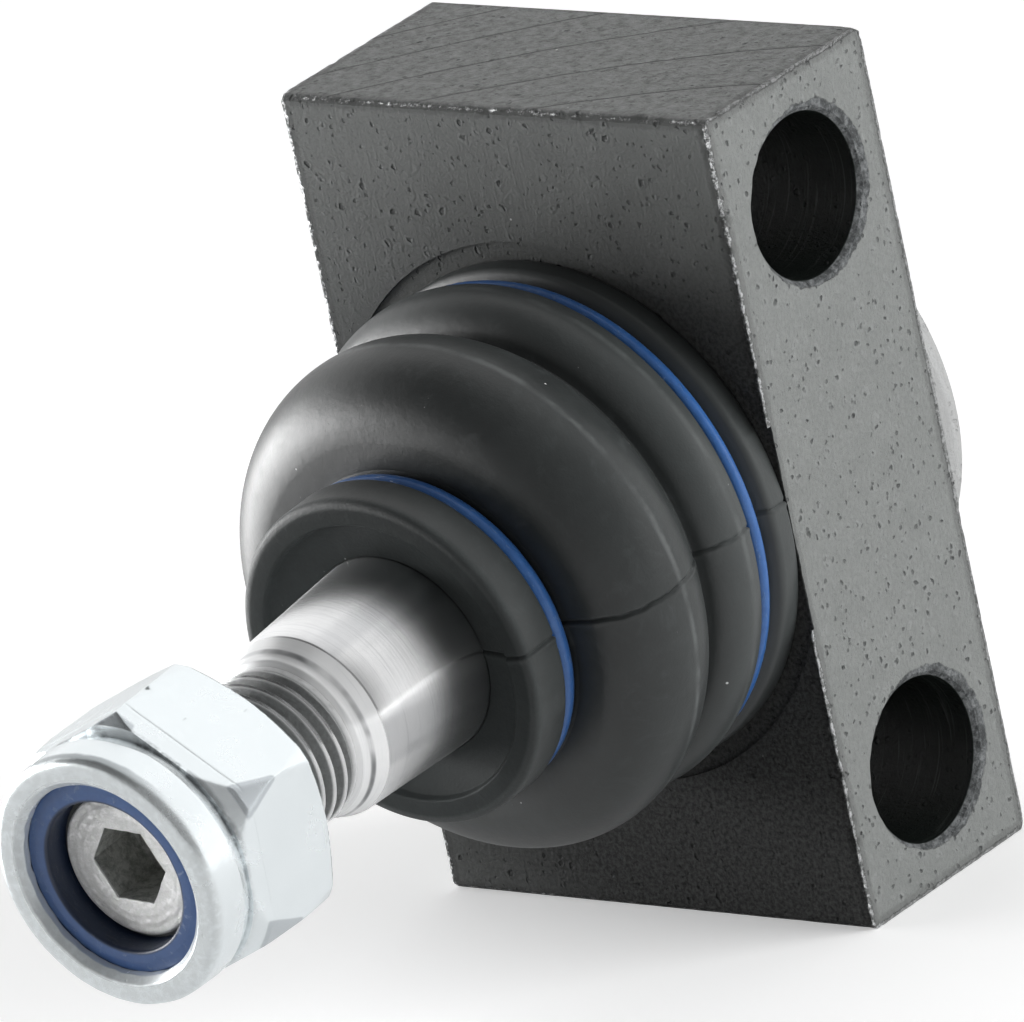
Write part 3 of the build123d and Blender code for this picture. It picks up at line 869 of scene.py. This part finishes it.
def rubber_material():
    """Black moulded rubber with bloom, dust, a duller collar face and painted highlight lines on the folds'
    crests.
    """
    m = Material("boot_rubber")
    place, radius = m.along(STUD_AXIS)
    mouth = m.product(m.step(place, 29.9, 30.3), m.step(radius, 13.9, 13.5))
    collar = m.math("MAXIMUM", mouth, m.step(place, COLLAR_END - 1.0, COLLAR_END - 0.3))
    rear = m.step(m.along(SOCKET_AXIS)[0], 15.7, 15.0)
    bloom = m.noise(0.22, 5, 0.62, warp=0.4)
    fine = m.noise(3.0, 5, 0.65)
    dust = m.step(m.spots(0.42, 0.085, 0.45), 0.25, 0.6)
    flecks = m.step(m.spots(1.1, 0.10, 0.25, m.stretched(1, 1.6, 0.7)), 0.2, 0.7)
    smudge = m.patches(0.35, 0.5, 0.72, detail=7, roughness=0.75, warp=1.2)
    base = m.mix(bloom, (0.018, 0.020, 0.020), (0.036, 0.040, 0.040))
    base = m.tint(base, smudge, 0.4, (0.060, 0.067, 0.067))
    base = m.tint(base, collar, m.blend(fine, 0.35, 0.75), (0.046, 0.051, 0.051))
    # Painted highlight lines along the folds' crests
    base = m.mix(crest_highlights(m), base, (0.13, 0.14, 0.14))
    base = m.tint(base, rear, 0.35, (0.070, 0.077, 0.077))
    base = m.tint(base, flecks, 0.35, grey(0.12))
    base = m.mix(dust, base, grey(0.6))
    roughness = m.blend(smudge, m.blend(fine, 0.38, 0.44), 0.52)
    shine = m.blend(mouth, m.blend(collar, 0.5, 0.25), 0.04)
    m.set(Base_Color=base, Roughness=m.blend(collar, roughness, 0.52), Specular_IOR_Level=shine)
    m.relief((fine, 0.012), (m.noise(0.8, 4), 0.03), (m.product(fine, collar), 0.04), (flecks, 0.03))
    return m.made


def blue_material(name, dark, light, roughness, bore=0.0):
    """Blue moulded plastic, rubbed paler in places and with painted shade on the wall of a bore."""
    m = Material(name)
    radius = m.along(STUD_AXIS)[1]
    fine = m.noise(1.2, 6, 0.65)
    rubbed = m.patches(0.9, 0.56, 0.72, detail=6, roughness=0.7, at=m.stretched(1, 3, 1), warp=0.5)
    grit = m.step(m.spots(0.9, 0.12, 0.3), 0.2, 0.6)
    base = m.mix(fine, dark, light)
    base = m.tint(base, rubbed, 0.3, (0.25, 0.36, 0.52))
    base = m.tint(base, grit, 0.8, (0.01, 0.015, 0.03))
    # Painted shade on the wall of the bore
    base = m.tint(base, m.step(radius, bore + 0.4, bore + 0.12), 0.85, (0.004, 0.008, 0.02))
    roughness = m.blend(rubbed, roughness, roughness + 0.15)
    m.set(Base_Color=base, Roughness=roughness, Specular_IOR_Level=0.6)
    m.relief((fine, 0.03), (rubbed, 0.03))
    return m.made


def stud_material():
    """Ground shank with painted reflection bands, darker rough thread, an end face painted near white as a
    reflection, painted dark rings on the turned relief and a darker key socket.
    """
    m = Material("stud_steel")
    place, radius = m.along(STUD_AXIS)

    # Masks along the stud: shank, turned relief, thread's grooves, end face, key socket
    shank = m.step(place, TAPER_END + 0.1, TAPER_END)
    past_turned = m.step(place, RELIEF_START + 0.9, RELIEF_START + 1.0)
    turned = m.math("SUBTRACT", m.math("SUBTRACT", 1.0, shank), past_turned)
    threaded = m.step(place, RELIEF_START + 0.55, RELIEF_START + 1.3)
    threaded = m.product(threaded, m.step(place, STUD_END - 0.05, STUD_END - 0.3))
    flank = m.product(threaded, m.step(radius, THREAD_RADIUS - 0.06, THREAD_RADIUS - 0.3))
    end = m.step(place, STUD_END - 0.25, STUD_END - 0.1)
    socket = m.product(m.step(radius, 3.75, 3.55), m.step(place, 60.0, 60.5))
    socket = m.product(socket, m.step(place, STUD_END - 0.12, STUD_END - 0.3))
    end_or_socket = m.math("MAXIMUM", end, socket)

    lines = m.noise(1.0, 4, 0.7, m.stretched(0.1, 7.0, 0.1))
    rough_flank = m.noise(2.5, 6, 0.75)
    marks = m.patches(1.3, 0.38, 0.6, detail=7, roughness=0.8)
    reflection_bands = m.patches(0.32, 0.44, 0.32, detail=1, roughness=0.4, at=m.stretched(1.0, 0.02, 1.0))
    rings = m.math("SINE", m.math("MULTIPLY", m.math("SUBTRACT", place, 44.05), 3.4))
    rings = m.product(m.step(rings, 0.5, 1.0), turned)

    base = m.mix(m.noise(0.3, 4), (0.78, 0.79, 0.80), (0.90, 0.90, 0.90))
    base = m.tint(base, m.step(lines, 0.5, 0.72), 0.25, (0.44, 0.45, 0.47))
    # Painted dark reflection bands along the shank
    base = m.tint(base, m.product(reflection_bands, shank), 0.35, (0.34, 0.35, 0.37))
    patchy = m.blend(m.patches(0.22, 0.42, 0.62, detail=2), 0.25, 0.85)
    # Painted dark reflection rings on the turned relief
    base = m.tint(base, rings, patchy, (0.08, 0.085, 0.09))
    base = m.mix(flank, base, m.mix(rough_flank, (0.075, 0.078, 0.078), (0.27, 0.28, 0.28)))
    # Painted reflection: the end face is near white and barely metallic
    base = m.mix(end, base, m.mix(marks, (0.86, 0.87, 0.85), (1.0, 1.0, 1.0)))
    base = m.mix(socket, base, m.mix(marks, (0.30, 0.31, 0.29), (0.58, 0.59, 0.56)))
    roughness = m.blend(flank, m.blend(lines, 0.20, 0.28), 0.5)
    roughness = m.blend(end_or_socket, roughness, 0.42)
    dull = m.math("MAXIMUM", m.math("MULTIPLY", turned, 0.6), flank)
    m.set(Base_Color=base, Roughness=roughness, Metallic=m.blend(dull, 1.0, 0.1))

    # Highlights drawn out round the stud, as turning leaves them
    turning = m.nodes.new("ShaderNodeTangent")
    turning.direction_type = "RADIAL"
    turning.axis = "Y"
    m.set(Anisotropic=0.75, Anisotropic_Rotation=0.25, Tangent=turning.outputs[0])
    m.relief((lines, 0.006), (m.product(rough_flank, flank), 0.12), (m.product(marks, end_or_socket), 0.05))
    return m.made


def nut_bevels(m, place, radius):
    """Mask of the hexagon's front corners, but for the one whose bevel starts late."""
    slope = m.math("MULTIPLY", m.math("SUBTRACT", place, NUT_CORNER[2][0]), 0.19)
    bevel = m.step(m.math("ADD", radius, slope), 12.55, 12.65)
    bevel = m.product(bevel, m.step(place, 60.3, 60.6))
    toward = Vector(ring_points(STUD_AXIS, 0, 1.0, np.radians([LATE_CORNER]))[0] - BALL)
    offset = m.vector("SUBTRACT", m.place, tuple(BALL))
    facing = m.step(m.vector("DOT_PRODUCT", offset, tuple(toward)), 9.0, 11.0)
    early = m.math("SUBTRACT", 1.0, facing)
    bevel = m.product(bevel, m.math("MAXIMUM", early, m.step(place, 64.6, 65.0)))
    return m.product(bevel, m.step(place, HEXAGON_END + 0.1, HEXAGON_END - 0.1))


def nut_material():
    """Bright zinc plate, faintly blue and cloudy, with a few handling marks, painted shade on the bevels
    and before the collar, and a painted dark reflection on the collar.
    """
    m = Material("nut_zinc")
    place, radius = m.along(STUD_AXIS)
    cloud = m.noise(0.28, 5, 0.6, warp=0.5)
    fine = m.noise(1.8, 6, 0.65)
    marks = m.step(m.spots(0.6, 0.16, 0.4, m.stretched(1.6, 0.7, 1)), 0.2, 0.6)
    brushed = m.noise(1.0, 5, 0.7, m.stretched(0.25, 5.0, 0.25))
    rim = m.product(m.step(place, NUT_FRONT - 1.0, NUT_FRONT - 0.3), m.step(fine, 0.3, 0.6))
    valley_shade = m.step(m.off(place, HEXAGON_END + 0.05), 0.5, 0.1)
    valley_shade = m.product(valley_shade, m.patches(0.35, 0.42, 0.58, detail=5, roughness=0.7))
    dark_reflection_band = m.step(m.uneven(m.off(place, NUT_FRONT - 0.75), 0.45, 0.6), 0.85, 0.45)
    dark_reflection_band = m.product(dark_reflection_band, m.step(m.z, 2.0, 7.0), m.step(radius, 9.6, 10.0))
    lip = m.product(m.step(radius, 9.1, 8.9), m.step(place, NUT_FRONT - 1.6, NUT_FRONT - 1.4))
    base = m.mix(cloud, (0.80, 0.85, 0.87), (0.90, 0.95, 0.97))
    base = m.tint(base, m.step(fine, 0.5, 0.75), 0.25, (0.94, 0.98, 1.0))
    base = m.tint(base, marks, 0.2, (0.40, 0.43, 0.45))
    # Painted shade on the corners' bevels
    base = m.tint(base, nut_bevels(m, place, radius), 0.6, (0.36, 0.39, 0.42))
    base = m.tint(base, rim, 0.35, (0.50, 0.52, 0.52))
    # Painted shade in the valley before the collar, stronger on the upper side
    base = m.tint(base, valley_shade, m.blend(m.step(m.z, -8.0, 0.0), 0.15, 0.6), (0.14, 0.15, 0.16))
    # Painted dark reflection band on the collar's top
    base = m.tint(base, dark_reflection_band, 0.7, (0.16, 0.18, 0.19))
    m.set(Base_Color=base, Roughness=m.blend(cloud, 0.20, 0.32), Metallic=m.blend(lip, 0.75, 0.25))
    m.relief((fine, 0.012), (marks, -0.02), (brushed, 0.008))
    return m.made


def metal_material(name, dark, light, roughness):
    """Plain rolled steel of the hidden pieces, clouded and lightly scratched."""
    m = Material(name)
    cloud = m.noise(0.4, 5, 0.6)
    scratch = m.noise(1.0, 5, 0.7, m.stretched(0.3, 0.3, 4.0), warp=0.3)
    base = m.mix(cloud, dark, light)
    base = m.tint(base, m.step(scratch, 0.55, 0.7), 0.3, light)
    m.set(Base_Color=base, Roughness=m.blend(cloud, roughness, roughness + 0.12), Metallic=1.0)
    m.relief((scratch, 0.01), (m.noise(2.0, 5), 0.015))
    return m.made


def plastic_material():
    """Off-white acetal of the bearing shells, with a greasy bloom."""
    m = Material("bearing_plastic")
    bloom = m.noise(0.4, 5, 0.6, warp=0.6)
    base = m.mix(bloom, (0.55, 0.53, 0.47), (0.70, 0.68, 0.62))
    m.set(Base_Color=base, Roughness=m.blend(bloom, 0.30, 0.5))
    m.relief((m.noise(1.5, 5), 0.02), (bloom, 0.02))
    return m.made


def dress(obj, made):
    """Give a piece one material."""
    obj.data.materials.clear()
    obj.data.materials.append(made)


# Materials, one for each of the record's slots
materials = {
    "block_steel": block_material(),
    "boot_rubber": rubber_material(),
    "ring_blue": blue_material("ring_blue", (0.012, 0.060, 0.20), (0.045, 0.13, 0.34), 0.28),
    "insert_nylon": blue_material(
        "insert_nylon", (0.034, 0.078, 0.21), (0.055, 0.125, 0.31), 0.34, bore=INSERT_HOLE
    ),
    "stud_steel": stud_material(),
    "nut_zinc": nut_material(),
    "cover_steel": metal_material("cover_steel", (0.36, 0.37, 0.38), (0.52, 0.53, 0.54), 0.34),
    "plain_steel": metal_material("plain_steel", (0.40, 0.41, 0.42), (0.55, 0.56, 0.57), 0.30),
    "spring_steel": metal_material("spring_steel", (0.16, 0.16, 0.18), (0.28, 0.28, 0.31), 0.36),
    "bearing_plastic": plastic_material(),
}
slots = {entry["node"]: entry["material_slot"] for entry in record["subparts"]}
for node, obj in frame["nodes"].items():
    dress(obj, materials[slots[node]])


def stand_for(obj, node, body):
    """Show a dressed piece in place of its CAD node, with that node's finish."""
    dress(obj, materials[slots[node]])
    if body:
        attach(obj, body)
    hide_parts(node)


# Dressed pieces
stand_for(make_block(), "housing_block", "housing")
stand_for(make_stud(), "ball_stud", "stud")
stand_for(make_nut(), "lock_nut", "nut")
stand_for(make_insert(), "nut_insert", "insert")
stand_for(make_ring("ring_blue_base", SOCKET_AXIS, *BASE_RING), "boot_base_ring", "housing")
boot = make_boot()
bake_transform(boot)
stand_for(boot, "dust_boot", None)

# Camera at the photograph's viewing angle
CAMERA_AT = Vector((0.8851, -1.0015, 0.4817))
CAMERA_RIGHT = Vector((0.7747, 0.5999, -0.1998))
CAMERA_UP = Vector((-0.0644, 0.3891, 0.919))
CAMERA_BACK = Vector((0.6291, -0.6991, 0.34))
CAMERA_LENS = 618.75
camera_data = bpy.data.cameras.new("camera")
camera_data.sensor_width = 36
camera_data.lens = CAMERA_LENS
camera_data.clip_end = 20
camera = bpy.data.objects.new("camera", camera_data)
turn = Matrix((CAMERA_RIGHT, CAMERA_UP, CAMERA_BACK)).transposed()
camera.matrix_world = Matrix.Translation(CAMERA_AT) @ turn.to_4x4()
bpy.context.scene.collection.objects.link(camera)
bpy.context.scene.camera = camera


# Studio: its levels of light, and the directions that are dimmer
FLOOR_SIZE = 6.0
FLOOR_LIFT = 0.30
STUDIO_LEVEL = 0.62
DIM_SIDE = (0.62, -0.72, 0.31)
DIM_EDGE = 0.75
DIM_LEVEL = 0.12
GLOSSY_LEVEL = 1.1
GAP_SIDE = (-0.38, -0.40, 0.834)
GAP_EDGE = (0.76, 0.90)
GAP_LEVEL = 0.1


def make_floor():
    """Large pale floor that keeps the object's shadow and fades to white for the camera."""
    size = FLOOR_SIZE
    z = -BLOCK_HALF[2] * MM - 0.00002
    corners = [(-size, -size, z), (size, -size, z), (size, size, z), (-size, size, z)]
    mesh = bpy.data.meshes.new("floor")
    mesh.from_pydata(corners, [], [(0, 1, 2, 3)])
    obj = bpy.data.objects.new("floor", mesh)
    bpy.context.scene.collection.objects.link(obj)
    m = Material("floor_white")
    camera_ray = m.nodes.new("ShaderNodeLightPath").outputs["Is Camera Ray"]
    m.set(Base_Color=grey(0.93), Roughness=0.9, Emission_Color=grey(1.0))
    m.set(Emission_Strength=m.math("MULTIPLY", camera_ray, FLOOR_LIFT))
    dress(obj, m.made)


def area_light(name, place, size, power, glossy=True, diffuse=True):
    """Rectangular light turned to the part, seen in reflections or on dull surfaces or both."""
    data = bpy.data.lights.new(name, "AREA")
    data.shape = "RECTANGLE"
    data.size, data.size_y = size
    data.energy = power
    obj = bpy.data.objects.new(name, data)
    obj.location = place
    obj.rotation_euler = Vector(-obj.location).to_track_quat("-Z", "Y").to_euler()
    obj.visible_glossy = glossy
    obj.visible_diffuse = diffuse
    bpy.context.scene.collection.objects.link(obj)


def make_world():
    """White studio that is dimmer on the camera's side, as one with lights beside and behind."""
    world = bpy.data.worlds.new("studio")
    bpy.context.scene.world = world
    world.use_nodes = True
    w = NodeTree(world.node_tree)
    direction = w.nodes.new("ShaderNodeTexCoord").outputs["Generated"]
    rays = w.nodes.new("ShaderNodeLightPath").outputs
    dim = w.step(w.vector("DOT_PRODUCT", direction, DIM_SIDE), 0.0, DIM_EDGE)
    level = w.blend(dim, STUDIO_LEVEL, DIM_LEVEL)

    # Reflections see a brighter studio with a dark gap in it, and the camera sees white
    gap = w.step(w.vector("DOT_PRODUCT", direction, GAP_SIDE), *GAP_EDGE)
    gap = w.blend(gap, GLOSSY_LEVEL / STUDIO_LEVEL, GAP_LEVEL / STUDIO_LEVEL)
    level = w.blend(rays["Is Glossy Ray"], level, w.math("MULTIPLY", level, gap))
    level = w.blend(rays["Is Camera Ray"], level, 1.0)
    background = w.nodes["Background"]
    w.put(grey(1.0), background.inputs["Color"])
    w.put(level, background.inputs["Strength"])


make_floor()
make_world()
area_light("soft_right", (1.15, 0.42, 0.30), (0.8, 0.5), 19.0, glossy=False)
area_light("soft_left", (-0.95, -0.28, 0.11), (0.85, 0.26), 8.5)
area_light("low_strip", (-0.100, -0.055, -0.006), (0.09, 0.052), 0.12, diffuse=False)

bpy.context.scene.view_settings.view_transform = "Standard"
